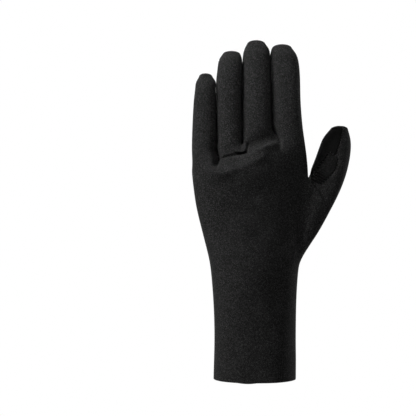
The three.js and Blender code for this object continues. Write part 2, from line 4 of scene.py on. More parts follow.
import bmesh
import bpy
import numpy as np
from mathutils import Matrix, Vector, noise
from mathutils.kdtree import KDTree


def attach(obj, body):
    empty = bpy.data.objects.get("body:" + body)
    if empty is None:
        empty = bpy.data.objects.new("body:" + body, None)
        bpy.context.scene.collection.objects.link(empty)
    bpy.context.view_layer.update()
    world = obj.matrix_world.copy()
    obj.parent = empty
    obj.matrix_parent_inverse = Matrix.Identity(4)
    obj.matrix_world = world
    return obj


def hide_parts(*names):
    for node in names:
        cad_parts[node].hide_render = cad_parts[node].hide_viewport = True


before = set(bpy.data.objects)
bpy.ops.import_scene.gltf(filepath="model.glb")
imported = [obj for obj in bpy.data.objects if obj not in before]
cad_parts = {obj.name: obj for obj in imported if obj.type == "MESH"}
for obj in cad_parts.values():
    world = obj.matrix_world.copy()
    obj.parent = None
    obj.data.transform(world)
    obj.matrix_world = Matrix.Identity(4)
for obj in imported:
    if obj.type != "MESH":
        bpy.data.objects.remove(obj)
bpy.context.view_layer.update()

# The skin.
# The glove is a hollow hand of 2 mm foam with jersey on both faces. Its outer skin is drawn up
# from the hem, one ring of points after another, and the panels are cut out of it further down.
MM = 0.001
ROUNDNESS = 2.3  # exponent of all sections, where 2 is an ellipse
FINGER_CLEARANCE = -0.3  # the flat sides of two fingers press against each other
RING_POINTS = 40  # 0 to 16 on the back, 17 to 19 at the right, 20 to 36 on the palm, 37 to 39 left
HEM_RADIUS = 36

Row = namedtuple("Row", "z left right back palm")
HAND_ROWS = [
    Row(*values)
    for values in (
        (0, -36.2, 35.8, 27.0, 27.0),
        (16, -35.8, 35.9, 26.8, 26.6),
        (34, -35.4, 35.8, 26.3, 26.2),
        (54, -35.7, 36.0, 25.8, 25.6),
        (72, -36.6, 36.6, 25.3, 24.8),
        (86, -37.7, 37.4, 24.8, 24.8),
        (95, -38.6, 38.4, 24.3, 27.4),
        (106, -40.4, 41.8, 23.1, 28.8),
        (122, -44.4, 44.4, 21.5, 28.2),
        (138, -48.4, 45.8, 20.5, 25.8),
        (154, -51.9, 46.8, 20.1, 22.4),
        (175, -54.6, 47.3, 19.8, 17.7),
        (183, -55.0, 46.5, 18.9, 15.6),
    )
]
THUMB_HOLE_ROWS = range(7, 12)  # the rows of the hand whose side opens into the thumb
SIDE_POINTS = 3  # points between the back's last column and the palm's

# Columns across the hand, four to a finger, as shares of its half width.
FINGER_EDGES = (-0.93, -0.54, -0.13, 0.46, 0.93)
PALM_LAST_EDGE = 0.84
COLUMNS = 4
HEM_TONGUE = {"drop": 9, "middle": -4.5, "half_width": 31, "fullness": 1.9}
HEM_BACK_DIP = 0.4

KnucklePoint = namedtuple("KnucklePoint", "x back_z palm_z depth")
KNUCKLE_LINE = [
    KnucklePoint(-52.6, 190, 190, 9),
    KnucklePoint(-32.0, 189, 192, 13),
    KnucklePoint(-11.7, 195.5, 191, 14.5),
    KnucklePoint(20.4, 204, 202, 13.5),
    KnucklePoint(42.8, 197, 196, 9),
]
KNUCKLE_BULGE = 2.2  # how far each finger's root stands out between its two crotches
# The two middle fingers share one sleeve for a few millimetres before they part.
PAIR_TOP = [
    KnucklePoint(-32.7, 197.5, 199, 10.5),
    KnucklePoint(-11.7, 203.5, 198, 10),
    KnucklePoint(16.6, 212, 210.5, 10.5),
]

FINGER_ROWS = {
    "little": (
        (200, -55.2, -32.7, -11.4, 11.6),
        (214, -54.9, -33.6, -10.2, 11.2),
        (230, -54.2, -34.2, -9.2, 11.0),
        (244, -53.3, -34.2, -8.4, 10.9),
        (253, -52.2, -34.4, -7.6, 10.7),
        (259, -51.4, -34.2, -6.0, 10.0),
        (263.2, -49.1, -36.6, -2.6, 7.8),
    ),
    "ring": (
        (210, -33.7, -11.7, -12.4, 12.6),
        (224, -33.9, -11.8, -11.5, 12.4),
        (241, -34.0, -11.8, -10.6, 12.3),
        (258, -33.8, -11.5, -9.8, 12.2),
        (270, -32.5, -11.2, -9.0, 12.0),
        (278.5, -31.2, -11.2, -7.0, 11.2),
        (283.2, -28.3, -12.4, -3.4, 8.8),
    ),
    "middle": (
        (218, -11.6, 14.9, -12.6, 13.2),
        (230, -11.7, 14.4, -12.0, 13.1),
        (246, -11.6, 14.4, -11.2, 13.1),
        (262, -11.2, 13.9, -10.4, 13.0),
        (276, -10.6, 13.2, -9.4, 12.8),
        (286.2, -9.4, 13.0, -7.2, 11.8),
        (291.8, -6.9, 10.0, -3.4, 9.2),
    ),
    "index": (
        (216, 15.1, 42.0, -12.2, 12.6),
        (230, 14.5, 40.6, -11.6, 12.5),
        (244, 14.6, 39.7, -10.9, 12.4),
        (260, 14.0, 39.5, -10.2, 12.3),
        (273, 13.4, 38.7, -9.4, 12.1),
        (282.5, 13.7, 36.8, -7.4, 11.2),
        (288.2, 15.1, 33.3, -3.6, 8.8),
    ),
}
FINGER_ROWS = {name: [Row(*values) for values in rows] for name, rows in FINGER_ROWS.items()}
FINGER_TIPS = {
    "little": Vector((-43.0, 3.4, 267.2)),
    "ring": Vector((-20.3, 3.6, 286.9)),
    "middle": Vector((1.5, 4.0, 296.4)),
    "index": Vector((24.2, 3.8, 292.8)),
}
ThumbRow = namedtuple("ThumbRow", "inner_x inner_z outer_x outer_z y half_depth")
THUMB_ROWS = [
    ThumbRow(48.9, 179.4, 54.8, 125.9, 5.4, 14.1),
    ThumbRow(50.2, 183.7, 66.0, 145.5, 7.7, 13.8),
    ThumbRow(52.8, 189.9, 75.6, 164.1, 10.4, 13.6),
    ThumbRow(55.7, 197.1, 82.2, 181.9, 13.4, 13.2),
    ThumbRow(58.8, 204.9, 85.6, 197.3, 16.8, 12.2),
    ThumbRow(62.3, 212.2, 86.2, 209.2, 19.8, 10.8),
    ThumbRow(67.2, 218.1, 84.4, 217.9, 22.0, 8.2),
]
THUMB_TIP = Vector((77.1, 23.2, 222.6))
# Where a ring starts: a finger's at the back's left corner, the thumb's at its outer one.
FINGER_FIRST_TURN = -0.75 * math.pi
THUMB_FIRST_TURN = -0.25 * math.pi
WEB_X = 48.4  # where the palm's edge passes from the index finger to the thumb
DOME_STEPS = (0.82, 0.52)  # how wide the rings over a tip are, as shares of the tip's own ring
# The fingers' sections lean over one another, so that no light passes between two of them.
LEAN = {"share": -0.11, "from_z": 190, "to_z": 212, "middle_y": 1}
SKIN_LEVELS = 3


def lerp(a, b, t):
    return a + (b - a) * t


def signed_power(value, power):
    return math.copysign(abs(value) ** power, value)


def hand_ring(row, is_hem=False):
    """The places of a ring round the hand, from the back's left corner."""
    middle = (row.left + row.right) / 2
    half = (row.right - row.left) / 2

    def depth_at(share):
        return (1 - abs(share) ** ROUNDNESS) ** (1 / ROUNDNESS)

    def side(sign, back_share, palm_share):
        first = -math.acos(back_share ** (ROUNDNESS / 2))
        last = math.acos(palm_share ** (ROUNDNESS / 2))
        found = []
        for i in range(SIDE_POINTS):
            turn = lerp(first, last, (i + 1) / (SIDE_POINTS + 1))
            depth = row.back if turn < 0 else row.palm
            x = middle + sign * half * math.cos(turn) ** (2 / ROUNDNESS)
            found.append(Vector((x, depth * signed_power(math.sin(turn), 2 / ROUNDNESS), row.z)))
        return found

    shares = [
        lerp(FINGER_EDGES[i // COLUMNS], FINGER_EDGES[i // COLUMNS + 1], (i % COLUMNS) / COLUMNS)
        for i in range(4 * COLUMNS)
    ] + [FINGER_EDGES[-1]]
    back, palm = [], []
    for i, share in enumerate(shares):
        dip = HEM_BACK_DIP * (1 - share * share) if is_hem else 0
        back.append(Vector((middle + half * share, -row.back * depth_at(share), row.z - dip)))
        over_index = max(0, i - 3 * COLUMNS) / COLUMNS
        share += over_index * (PALM_LAST_EDGE - FINGER_EDGES[-1])
        x = middle + half * share
        from_tongue = min(1, abs((x - HEM_TONGUE["middle"]) / HEM_TONGUE["half_width"]))
        drop = HEM_TONGUE["drop"] * (1 - from_tongue ** HEM_TONGUE["fullness"]) if is_hem else 0
        palm.append(Vector((x, row.palm * depth_at(share), row.z - drop)))
    right = side(1, FINGER_EDGES[-1], PALM_LAST_EDGE)
    left = side(-1, FINGER_EDGES[-1], FINGER_EDGES[-1])
    return back + right + palm[::-1] + left[::-1]


def knuckle_columns(line):
    """Places along a knuckle line on the back, then on the palm, four to each of its points."""
    back, palm = [], []
    for i in range((len(line) - 1) * COLUMNS + 1):
        at = min(i // COLUMNS, len(line) - 2)
        t = i / COLUMNS - at
        start, end = line[at], line[at + 1]
        x = lerp(start.x, end.x, t)
        depth = lerp(start.depth, end.depth, t) + KNUCKLE_BULGE * math.sin(math.pi * t)
        back.append(Vector((x, -depth, lerp(start.back_z, end.back_z, t))))
        palm.append(Vector((x, depth, lerp(start.palm_z, end.palm_z, t))))
    return back, palm


def ring_of_sixteen(middle, across, deep, first_turn):
    found = []
    for i in range(4 * COLUMNS):
        turn = first_turn + i * math.pi / 8
        along = signed_power(math.cos(turn), 2 / ROUNDNESS)
        into = signed_power(math.sin(turn), 2 / ROUNDNESS)
        found.append(middle + across * along + deep * into)
    return found


def lean(x, y, z):
    """How far places on the fingers are moved sideways by their lean."""
    reached = np.clip((z - LEAN["from_z"]) / (LEAN["to_z"] - LEAN["from_z"]), 0, 1)
    eased = reached * reached * (3 - 2 * reached)
    return np.where(x > WEB_X, 0, LEAN["share"] * eased * (y - LEAN["middle_y"]))


def lean_at(place):
    return Vector((lean(*place), 0, 0))


places = [None]  # where each numbered point of the net belongs, in millimetres, without the lean


def net_and_numbers():
    net = bmesh.from_edit_mesh(skin.data)
    return net, net.verts.layers.int["number"]


def put(point, number, place):
    places.append(place)
    point[number] = len(places) - 1
    point.co = (place + lean_at(place)) * MM
    return point[number]


def select_ring(ring):
    bpy.ops.mesh.select_all(action="DESELECT")
    net, number = net_and_numbers()
    points = {point[number]: point for point in net.verts}
    for here, following in zip(ring, ring[1:] + ring[:1]):
        net.edges.get((points[here], points[following])).select_set(True)


def raise_ring(ring, next_places):
    """Extrudes a closed ring of points and puts the new ring in its places."""
    select_ring(ring)
    bpy.ops.mesh.extrude_region_move()
    net, number = net_and_numbers()
    raised = {point[number]: point for point in net.verts if point.select}
    return [put(raised[here], number, place) for here, place in zip(ring, next_places)]


def select_points(wanted):
    bpy.ops.mesh.select_all(action="DESELECT")
    net, number = net_and_numbers()
    for point in net.verts:
        if point[number] in wanted:
            point.select_set(True)


def run_across(start, end):
    """A line of points from the back to the palm, where two fingers part."""
    chain = [start]
    for i in range(SIDE_POINTS):
        select_points([chain[-1]])
        bpy.ops.mesh.extrude_region_move()
        net, number = net_and_numbers()
        point = next(point for point in net.verts if point.select)
        place = places[start].lerp(places[end], (i + 1) / (SIDE_POINTS + 1))
        chain.append(put(point, number, place))
    select_points([chain[-1], end])
    bpy.ops.mesh.edge_face_add()
    return chain[1:]


def close_tip(ring, tip):
    """Closes a ring of sixteen points with two smaller rings and a grid under the tip."""
    rim = [places[point] for point in ring]
    centre = sum(rim, Vector()) / len(rim)
    up = tip - centre
    for reach in DOME_STEPS:
        rise = math.sqrt(1 - reach * reach)
        ring = raise_ring(ring, [centre.lerp(place, reach) + up * rise for place in rim])
    select_ring(ring)
    bpy.ops.mesh.fill_grid(span=COLUMNS)
    net, number = net_and_numbers()
    top = centre + up * rise
    radius = sum((places[point] - top).length for point in ring) / len(ring)
    for point in net.verts:
        if point.select and all(face.select for face in point.link_faces):
            place = point.co / MM
            place -= lean_at(place)
            inward = reach * (place - top).length / radius
            put(point, number, place + up * (math.sqrt(1 - inward * inward) - rise))


def raise_finger(name, root, clear_left, clear_right):
    below = root
    for row in FINGER_ROWS[name]:
        left = row.left + (FINGER_CLEARANCE / 2 if clear_left else 0)
        right = row.right - (FINGER_CLEARANCE / 2 if clear_right else 0)
        middle = Vector(((left + right) / 2, (row.back + row.palm) / 2, row.z))
        across = Vector(((right - left) / 2, 0, 0))
        deep = Vector((0, (row.palm - row.back) / 2, 0))
        ring = ring_of_sixteen(middle, across, deep, FINGER_FIRST_TURN)
        below = raise_ring(below, ring)
    close_tip(below, FINGER_TIPS[name])


bpy.ops.object.select_all(action="DESELECT")
bpy.ops.mesh.primitive_circle_add(vertices=RING_POINTS, radius=HEM_RADIUS * MM)
skin = bpy.context.object
skin.name = "skin"
bpy.ops.object.mode_set(mode="EDIT")
bmesh.from_edit_mesh(skin.data).verts.layers.int.new("number")
net, number = net_and_numbers()
hem_places = hand_ring(HAND_ROWS[0], is_hem=True)
rings = [[put(point, number, place) for point, place in zip(net.verts, hem_places)]]
for row in HAND_ROWS[1:]:
    rings.append(raise_ring(rings[-1], hand_ring(row)))

# The row where the fingers start, then their roots: the little and the index finger by
# themselves, the two middle ones in one sleeve. The fingers part at the ring's points 4, 8 and
# 12 on the back, which lie opposite 32, 28 and 24 on the palm.
SIDE_SHARES = (-0.55, 0, 0.55)  # of the depth, for the three points of a side
PAIR_SIDE_SHARES = (-0.6, 0, 0.6)
knuckle_back, knuckle_palm = knuckle_columns(KNUCKLE_LINE)


def outer_side(sign, point):
    """The outer side of the little or the index finger where it leaves the hand."""
    bulge = sign * KNUCKLE_BULGE
    return [
        Vector((point.x + bulge * (1 - share * share), share * point.depth, point.back_z))
        for share in SIDE_SHARES
    ]


little_side = outer_side(-1, KNUCKLE_LINE[0])
index_side = outer_side(1, KNUCKLE_LINE[-1])
top = raise_ring(rings[-1], knuckle_back + index_side + knuckle_palm[::-1] + little_side[::-1])
past_little = run_across(top[4], top[32])
past_middle = run_across(top[12], top[24])
raise_finger("little", top[0:5] + past_little + top[32:40], False, True)
raise_finger("index", top[12:25] + past_middle[::-1], True, False)


def pair_side(point):
    return [
        Vector((point.x, share * point.depth, lerp(point.back_z, point.palm_z, (share + 1) / 2)))
        for share in PAIR_SIDE_SHARES
    ]


pair_back, pair_palm = knuckle_columns(PAIR_TOP)
pair = raise_ring(
    top[4:13] + past_middle + top[24:33] + past_little[::-1],
    pair_back + pair_side(PAIR_TOP[2]) + pair_palm[::-1] + pair_side(PAIR_TOP[0])[::-1],
)
past_ring = run_across(pair[4], pair[16])
raise_finger("ring", pair[0:5] + past_ring + pair[16:24], True, True)
raise_finger("middle", pair[4:17] + past_ring[::-1], True, True)

# The thumb: a hole is opened in the side of the hand and its rim is drawn out.
first, *inside, last = [rings[i] for i in THUMB_HOLE_ROWS]
BACK_CORNER, PALM_CORNER = 16, 20  # points of a ring where the hand's right side starts and ends
bpy.ops.mesh.select_all(action="DESELECT")
net, number = net_and_numbers()
hole = {ring[i] for ring in (first, *inside, last) for i in range(BACK_CORNER, PALM_CORNER + 1)}
for face in net.faces:
    if all(point[number] in hole for point in face.verts):
        face.select_set(True)
bpy.ops.mesh.delete(type="FACE")
below = (
    first[BACK_CORNER : PALM_CORNER + 1]
    + [ring[PALM_CORNER] for ring in inside]
    + last[PALM_CORNER : BACK_CORNER - 1 : -1]
    + [ring[BACK_CORNER] for ring in inside[::-1]]
)
for row in THUMB_ROWS:
    outer = Vector((row.outer_x, row.y, row.outer_z))
    inner = Vector((row.inner_x, row.y, row.inner_z))
    middle = (outer + inner) / 2
    deep = Vector((0, row.half_depth, 0))
    ring = ring_of_sixteen(middle, outer - middle, deep, THUMB_FIRST_TURN)
    below = raise_ring(below, ring)
close_tip(below, THUMB_TIP)

bpy.ops.mesh.select_all(action="SELECT")
bpy.ops.mesh.normals_make_consistent(inside=False)
bpy.ops.object.mode_set(mode="OBJECT")

# The net is pulled out until the smooth skin passes through the places above.
PULLS = 3
rounding = skin.modifiers.new("rounding", "SUBSURF")
rounding.levels = rounding.render_levels = SKIN_LEVELS
numbers = [item.value for item in skin.data.attributes["number"].data]
for _ in range(PULLS):
    smooth_skin = skin.evaluated_get(bpy.context.evaluated_depsgraph_get()).data
    for point, number in zip(skin.data.vertices, numbers):
        wanted = (places[number] + lean_at(places[number])) * MM
        point.co += wanted - smooth_skin.vertices[point.index].co
    skin.data.update()
bpy.ops.object.modifier_apply(modifier="rounding")

# The foam's own softness.
# Worn neoprene is never quite even: wide shallow swells run over the hand and the cuff, and a few
# folds are set into it where the fingers bend and where the thumb is pulled out of the palm.
# A fold of the back follows a line of places (x, z), with a height and a width on either side.
Fold = namedtuple("Fold", "left_height left_width right_height right_width line")
BACK, PALM = -1, 1  # which way each face lies along Y
KNUCKLE_ARCH = (
    (-53, 190), (-44, 183.6), (-36.4, 180), (-29, 178.6), (-22, 180.8), (-13, 183.8),
    (-4.4, 188), (6, 193),
)
FOLDS = [
    # The knuckles stand out in a low arch under the fingers, and the back falls off to the thumb.
    Fold(2.6, 8, 2.6, 20, KNUCKLE_ARCH[2:]),
    Fold(2.4, 8, 2.4, 20, ((-52, 187), (-44, 183), (-36.4, 179.6), (-31, 178.6))),
    Fold(1.5, 2, 1.5, 3.6, KNUCKLE_ARCH),
    Fold(2, 13, 2, 20, ((8, 194), (18, 197), (30, 195), (40, 189))),
    Fold(-5.5, 30, -5.5, 20, ((47, 170), (44, 152), (38, 130), (30, 105), (25, 80))),
    Fold(-3.8, 24, -3.8, 25, ((36, 182), (31, 166), (25, 150), (22, 140))),
    # The seam under the two middle fingers is drawn in, and its lower lip stands up at the right.
    Fold(-1.5, 1.4, -1, 1.4, ((-30, 191.4), (-21.8, 194), (-13.4, 195.8), (-8, 196.6))),
    Fold(-4.5, 9, 1.9, 3.6, ((-1.5, 199.2), (5.9, 202.2), (13.3, 205), (16.5, 205.6))),
    Fold(0.9, 1.2, 0.9, 6, ((4.4, 199.9), (8.6, 201.9), (13.4, 204.4), (15.6, 204.9))),
    Fold(0.9, 0.7, 0.9, 3.4, ((6.8, 202.1), (13.2, 204.9), (14.6, 205.3))),
    # A pocket is tucked in between the ring and the middle finger, round the end of their crease.
    Fold(0.4, 2.2, -1, 1.8, ((-21.8, 200.4), (-18, 197.8), (-15.2, 196.6))),
    Fold(
        0.8, 2.2, -2.2, 2.8,
        ((-15.2, 196.6), (-11.4, 196.5), (-9, 197.8), (-7.6, 200.4), (-7.2, 203.4)),
    ),
    Fold(0.4, 1.4, -0.9, 1.4, ((-4.8, 198.8), (-2.9, 203))),
    # The creases beside the two middle fingers run down into the back of the hand.
    Fold(-3.2, 0.5, -3.2, 3.8, ((-33.2, 206), (-33, 198), (-31.2, 192.4), (-32.6, 185.4))),
    Fold(-4, 1.6, -4, 3, ((-32.4, 198), (-31.2, 192.4), (-32.4, 187.4))),
    Fold(-2.4, 2.4, -2.4, 2, ((14.4, 215.6), (17.3, 209.4), (21, 202.8))),
    # Small puckers under the lip, and wide dents over the back.
    Fold(-0.7, 1.3, -0.7, 1.3, ((-1.2, 195.2), (0.6, 191.4))),
    Fold(-0.6, 1.2, -0.6, 1.2, ((4.2, 196.8), (6.2, 193.2))),
    Fold(-0.9, 6, -0.9, 6, ((-30, 168), (-14, 166), (-2, 158))),
    Fold(-0.9, 6, -0.9, 6, ((-24, 150), (-8, 141), (4, 128))),
    Fold(-0.7, 5, -0.7, 5, ((-34, 132), (-22, 122), (-6, 118))),
    # The back of the hand laps over the root of the thumb.
    Fold(-1.9, 3.4, 1.1, 3.2, ((51, 170.4), (53, 167.4), (58, 159.5), (60.6, 155))),
]
FOLD_SHARPNESS = 0.6
FOLD_FADE = {"from_y": 3, "over": 9}  # on the palm a fold has died away
SWELL_HEIGHT = 0.8
SWELL_LENGTH = 21.0


def smooth_line(corners, closed, sharp_turn=0.7, steps=6):
    """A line through its corners, smooth except where it turns by more than sharp_turn."""
    corners = np.array(corners, float)
    count = len(corners)
    spans = count if closed else count - 1

    def corner(i):
        return corners[i % count] if closed else corners[min(max(i, 0), count - 1)]

    def heading(i, own):
        before, after = corner(i) - corner(i - 1), corner(i + 1) - corner(i)
        into, out = np.linalg.norm(before), np.linalg.norm(after)
        if into == 0 or out == 0:
            return own
        before, after = before / into, after / out
        if math.acos(min(1, max(-1, before @ after))) > sharp_turn:
            return own
        mean = before + after
        return mean / np.linalg.norm(mean)

    found = []
    for i in range(spans):
        start, end = corner(i), corner(i + 1)
        length = np.linalg.norm(end - start)
        own = (end - start) / length
        leave, arrive = heading(i, own) * length, heading(i + 1, own) * length
        for t in np.arange(steps) / steps:
            found.append(
                (2 * t**3 - 3 * t**2 + 1) * start
                + (t**3 - 2 * t**2 + t) * leave
                + (3 * t**2 - 2 * t**3) * end
                + (t**3 - t**2) * arrive
            )
    if not closed:
        found.append(corners[-1])
    return np.array(found)


def beside_line(line, x, z):
    """How far points are from a line seen from the back, and to which side of it (left is +)."""
    nearest = np.full(x.shape, np.inf)
    hand = np.zeros(x.shape)
    for (ax, az), (bx, bz) in zip(line, line[1:]):
        ex, ez = bx - ax, bz - az
        along = np.clip(((x - ax) * ex + (z - az) * ez) / (ex * ex + ez * ez), 0, 1)
        gap = np.hypot(x - ax - along * ex, z - az - along * ez)
        turn = ex * (z - az) - ez * (x - ax)
        closer = gap < nearest
        nearest = np.where(closer, gap, nearest)
        hand = np.where(closer, turn / math.hypot(ex, ez), hand)
    return nearest, hand


def in_box(box, place):
    return all(box[axis][0] < at < box[axis][1] for axis, at in zip("xyz", place))


# The net is too coarse for the small folds, so it is divided once where they lie.
FINE_PLACES = (
    {"x": (-38, 24), "y": (-30, -4), "z": (186, 214)},
    {"x": (46, 62), "y": (-30, 24), "z": (162, 186)},
)
FACING_BACK = 0.3  # a normal's y below which a face belongs to the back
bpy.ops.object.mode_set(mode="EDIT")
bpy.ops.mesh.select_mode(type="FACE")
for fine in FINE_PLACES:
    bpy.ops.mesh.select_all(action="DESELECT")
    net = bmesh.from_edit_mesh(skin.data)
    for face in net.faces:
        if in_box(fine, face.calc_center_median() / MM):
            face.select_set(face.normal.y < FACING_BACK)
    bpy.ops.mesh.subdivide(number_cuts=1)
bpy.ops.object.mode_set(mode="OBJECT")

spots = np.empty(len(skin.data.vertices) * 3)
normals = np.empty(len(spots))
skin.data.vertices.foreach_get("co", spots)
skin.data.vertex_normals.foreach_get("vector", normals)
spots, normals = spots.reshape(-1, 3) / MM, normals.reshape(-1, 3)
for fold in FOLDS:
    away, hand = beside_line(smooth_line(fold.line, False), spots[:, 0], spots[:, 2])
    # Past the ends of its line the two sides of a fold run softly into each other.
    beyond = np.sqrt(np.maximum(away**2 - hand**2, 0))
    to_left = 0.5 + 0.5 * np.tanh(hand / (FOLD_SHARPNESS + beyond))
    left = fold.left_height * np.exp(-((away / fold.left_width) ** 2))
    right = fold.right_height * np.exp(-((away / fold.right_width) ** 2))
    facing = np.clip(BACK * (spots[:, 1] - FOLD_FADE["from_y"]) / FOLD_FADE["over"], 0, 1)
    spots[:, 1] += BACK * facing * (to_left * left + (1 - to_left) * right)
swell = np.array([noise.noise(Vector(spot) / SWELL_LENGTH) for spot in spots])
spots += normals * (SWELL_HEIGHT * np.abs(normals[:, 1]) * swell)[:, None]
skin.data.vertices.foreach_set("co", (spots * MM).ravel())
skin.data.update()

# Two tight spots: the end of the crease beside the index finger, which is smoothed, and the
# thumb's web.
TIGHT_SPOTS = (
    {"x": (12, 24), "y": (-30, -1), "z": (202, 217)},
    {"x": (46.5, 55), "y": (-16, 16), "z": (169, 185)},
)
SMOOTHING = {"factor": 0.5, "repeat": 6}
bpy.ops.object.mode_set(mode="EDIT")
bpy.ops.mesh.select_mode(type="VERT")
bpy.ops.mesh.select_all(action="DESELECT")
net = bmesh.from_edit_mesh(skin.data)
for point in net.verts:
    if in_box(TIGHT_SPOTS[0], point.co / MM):
        point.select_set(True)
bpy.ops.mesh.vertices_smooth(**SMOOTHING)
bpy.ops.object.mode_set(mode="OBJECT")

# The panels.
# Eight flat panels are cut from the sheet and butted edge to edge: a back, a second back for the
# two middle fingers, a palm, a cuff, a small web in each crotch and a gusset inside the thumb.
# Here they are cut out of the skin along the seams, drawn as they are seen from the back.
Middle = namedtuple("Middle", "y z rise")
FINGER_MIDDLE = Middle(2.5, 170, 0)
THUMB_MIDDLE = Middle(9, 170, 0.29)
SEAM_INSET = 3.3  # on the outer sides of the little and the index finger
TIP_SEAM = {"drop": 5.2, "height": 8, "squareness": 0.95}
CROTCH_BOWL = ((0, 11), (3.4, 10), (5.2, 4), (4.6, -1), (2.6, -3.8), (0, -4.8))
ULNAR_SEAM = (
    (-34, 94), (-37.4, 106), (-41.2, 122), (-45, 138), (-48.4, 154), (-50.8, 170), (-51.8, 186),
)
WRIST_SEAM = ((29, 91), (23, 88), (14, 84.5), (2, 82), (-10, 82.5), (-22, 86.5), (-30, 91))
THUMB_PALM_SEAM = (
    (29, 91), (34, 99), (39.5, 111), (45.5, 124), (53.5, 140), (61.6, 155), (68.7, 170),
    (73.4, 184), (76.4, 198), (78, 211), (77.6, 226),
)
# The same seam where it comes over the thumb's tip to the face seen from the back.
THUMB_BACK_SEAM = ((77.6, 226), (77.4, 212.6), (74.3, 203.6), (71.9, 196.4))
WEB = (WEB_X, 175)
# Clear of the thumb on its inner side, where the palm panel goes round it.
THUMB_CLEAR = ((70, 230), (58, 220), (51, 205), (46, 190))
RADIAL_SEAM = ((29, 91), (26, 80), (23.2, 64), (22.4, 46), (23.4, 24), (25.4, -14))
CUFF_ULNAR_SEAM = ((-34, 94), (-31.6, 80), (-30, 60), (-29.8, 40), (-30.6, 16), (-31.6, -14))
KNUCKLE_SEAM = (
    (-32, 189), (-29, 192), (-21.9, 194.1), (-11.7, 196.1), (0, 199.7), (8, 203.3),
    (13.4, 206.2), (20.4, 204),
)
GUSSET_INNER_EDGE = ((70.1, 195.4), (65.4, 198.6), (61.2, 191.7), (56, 185.9), (52.9, 182.1))
GUSSET_OUTER_EDGE = (
    (49.6, 174), (51, 171.2), (56.9, 169.6), (63, 173.6), (68.4, 179.4), (72.3, 186.2),
    (73.4, 193.4),
)
INDEX_FOOT = (43, 186)
THUMB_ROOT = (WEB_X, 131)
FAR_ABOVE = 300
UNDER_PAIR = 170


def fingertip_seam(name):
    """The palm panel's top edge over one finger, from its left side to its right side."""
    rows = FINGER_ROWS[name]
    is_first, is_last = name == "little", name == "index"
    from_left = SEAM_INSET if is_first else 0
    from_right = SEAM_INSET if is_last else 0
    shoulder = rows[-3]
    arch = []
    for share in (-1, -0.85, -0.5, 0, 0.5, 0.85, 1):
        x = lerp(shoulder.left + from_left, shoulder.right - from_right, (share + 1) / 2)
        fall = 1 - math.sqrt(1 - TIP_SEAM["squareness"] * share * share)
        arch.append((x, FINGER_TIPS[name].z - TIP_SEAM["drop"] - TIP_SEAM["height"] * fall))
    before = [(row.left + from_left, row.z) for row in rows[:-3]] if is_first else []
    after = [(row.right - from_right, row.z) for row in rows[-4::-1]] if is_last else []
    return before + arch + after


def gap_line(name, side):
    """The gap beside a finger, from its root up."""
    return [(getattr(row, side), row.z) for row in FINGER_ROWS[name][:-1]]


def bowl(x, z):
    """The seam round a web, which is a small bowl under the crotch."""
    right = [(x + out, z + up) for out, up in CROTCH_BOWL]
    left = [(x - out, z + up) for out, up in CROTCH_BOWL[1:-1]]
    return right[::-1] + left


foot = next(i for i, (x, _) in enumerate(THUMB_PALM_SEAM) if x > WEB_X)
palm_outline = [
    *ULNAR_SEAM,
    *(place for name in FINGER_ROWS for place in fingertip_seam(name)),
    INDEX_FOOT,
    WEB,
    THUMB_ROOT,
    *THUMB_PALM_SEAM[1:foot][::-1],
    *WRIST_SEAM,
]
thumb_palm_outline = [(44, 176), *THUMB_CLEAR[::-1], *THUMB_PALM_SEAM[foot - 1 :][::-1]]
thumb_back_outline = [(49.6, 174), *THUMB_CLEAR[::-1], *THUMB_BACK_SEAM, *GUSSET_INNER_EDGE]
cuff_outline = [*WRIST_SEAM[::-1], *RADIAL_SEAM[1:], *CUFF_ULNAR_SEAM[1:][::-1]]
# Up the gap beside the ring finger, over both fingertips and down the gap beside the middle one.
around_pair = [
    (-32.95, 197.5),
    *gap_line("ring", "left"),
    (-33, FAR_ABOVE),
    (14, FAR_ABOVE),
    *gap_line("middle", "right")[::-1],
    (16.8, 212),
]
pair_sides_outline = [
    (KNUCKLE_SEAM[0][0], UNDER_PAIR),
    KNUCKLE_SEAM[0],
    *around_pair,
    KNUCKLE_SEAM[-1],
    (KNUCKLE_SEAM[-1][0], UNDER_PAIR),
]
Cutout = namedtuple("Cutout", "outline face middle")


def moved(middle, y):
    return middle._replace(y=middle.y + y)


# In the order in which they are cut out; the back panel is what is left of the skin.
CUTOUTS = {
    "thumb_gusset": [Cutout([*GUSSET_INNER_EDGE, *GUSSET_OUTER_EDGE], BACK, THUMB_MIDDLE)],
    "little_ring_web": [Cutout(bowl(-32.0, 192), PALM, moved(FINGER_MIDDLE, -2))],
    "ring_middle_web": [Cutout(bowl(-11.7, 198), PALM, moved(FINGER_MIDDLE, -2))],
    "middle_index_web": [Cutout(bowl(20.4, 202), PALM, moved(FINGER_MIDDLE, -2))],
    "palm_panel": [
        Cutout(palm_outline, PALM, FINGER_MIDDLE),
        Cutout(thumb_palm_outline, PALM, THUMB_MIDDLE),
        Cutout(thumb_back_outline, BACK, moved(THUMB_MIDDLE, 1)),
    ],
    "cuff_panel": [Cutout(cuff_outline, PALM, FINGER_MIDDLE)],
    "two_finger_back": [
        Cutout([*around_pair, *KNUCKLE_SEAM[::-1]], BACK, moved(FINGER_MIDDLE, -0.5)),
        Cutout(pair_sides_outline, PALM, moved(FINGER_MIDDLE, -1.5)),
    ],
}
PANELS = [*CUTOUTS, "back_panel"]


def inside_outline(outline, x, z):
    """How far each point is inside a closed outline."""
    line = smooth_line(outline, True)
    line = np.vstack([line, line[:1]])
    nearest, _ = beside_line(line, x, z)
    inside = np.zeros(x.shape, bool)
    for (ax, az), (bx, bz) in zip(line, line[1:]):
        if az != bz:
            inside ^= ((az > z) != (bz > z)) & (x < ax + (z - az) * (bx - ax) / (bz - az))
    return np.where(inside, nearest, -nearest)


